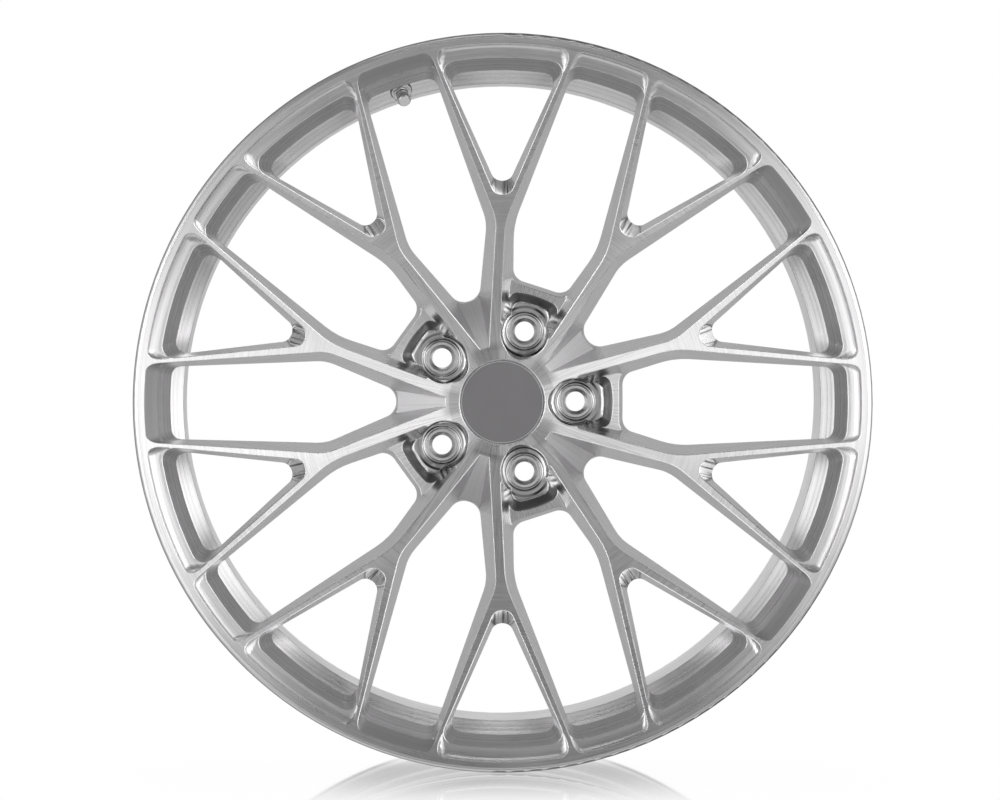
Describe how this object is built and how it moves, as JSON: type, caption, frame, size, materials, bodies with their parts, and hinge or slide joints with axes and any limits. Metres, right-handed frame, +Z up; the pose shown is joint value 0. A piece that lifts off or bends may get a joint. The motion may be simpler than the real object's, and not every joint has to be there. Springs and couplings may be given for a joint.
{
  "type": "forged racing wheel rim",
  "caption": "Deep forged motorsport wheel rim with forked Y-spokes, drop-centre barrel, lug seats, plain centre cap and a bolt-in tyre valve.",
  "frame": {"origin": "on the spin axis, half way between the two flanges", "axes": "+Y along the spin axis towards the car, so the outboard face looks along -Y; +Z up; one bolt hole lies on +X"},
  "size_m": [0.5474, 0.2794, 0.5474],
  "materials": {
    "machined_aluminium": "bare machined and brushed forged aluminium",
    "polished_steel": "turned bright steel",
    "valve_metal": "satin turned aluminium",
    "valve_brass": "turned brass",
    "spring_steel": "drawn spring wire",
    "rubber": "matt black rubber",
    "cap_plastic": "satin grey moulding",
    "cap_face": "plain satin grey"
  },
  "bodies": {
    "wheel": {"wheel_forging": "machined_aluminium", "lug_seat_inserts": "polished_steel", "valve_stem": "valve_metal", "valve_inner_grommet": "rubber", "valve_outer_grommet": "rubber", "valve_washer": "valve_metal", "valve_nut": "valve_metal", "valve_core_plug": "valve_brass", "valve_core_barrel": "valve_brass", "valve_core_barrel_seal": "rubber", "valve_core_spring": "spring_steel"},
    "centre_cap": {"centre_cap_body": "cap_plastic", "centre_cap_disc": "cap_face", "centre_cap_spring_ring": "spring_steel", "centre_cap_seal": "rubber"},
    "valve_core": {"valve_core_pin": "valve_brass", "valve_core_cup": "valve_brass", "valve_core_cup_seal": "rubber"},
    "valve_cap_lift": {"valve_cap_seal": "rubber"},
    "valve_cap": {"valve_cap": "valve_metal"}
  },
  "joints": [
    {"name": "centre_cap_pull", "type": "slide", "parent": "wheel", "child": "centre_cap", "axis": [0, -1, 0], "range_m": [0, 0.04]},
    {"name": "valve_core_press", "type": "slide", "parent": "wheel", "child": "valve_core", "axis": [-0.1818, 0.8087, 0.5594], "range_m": [0, 0.0015], "stiffness_N_per_m": 300, "deforming": ["valve_core_spring"]},
    {"name": "valve_cap_lift", "type": "slide", "parent": "wheel", "child": "valve_cap_lift", "axis": [0.1818, -0.8087, -0.5594], "range_m": [0, 0.00556]},
    {"name": "valve_cap_turn", "type": "hinge", "parent": "valve_cap_lift", "child": "valve_cap", "pos_m": [-0.07584, -0.08989, 0.23342], "axis": [0.1818, -0.8087, -0.5594], "range_deg": [0, 2522]}
  ],
  "couplings": [
    {"joint": "valve_cap_turn", "follows": "valve_cap_lift", "rad_per_m": 7915.8}
  ]
}
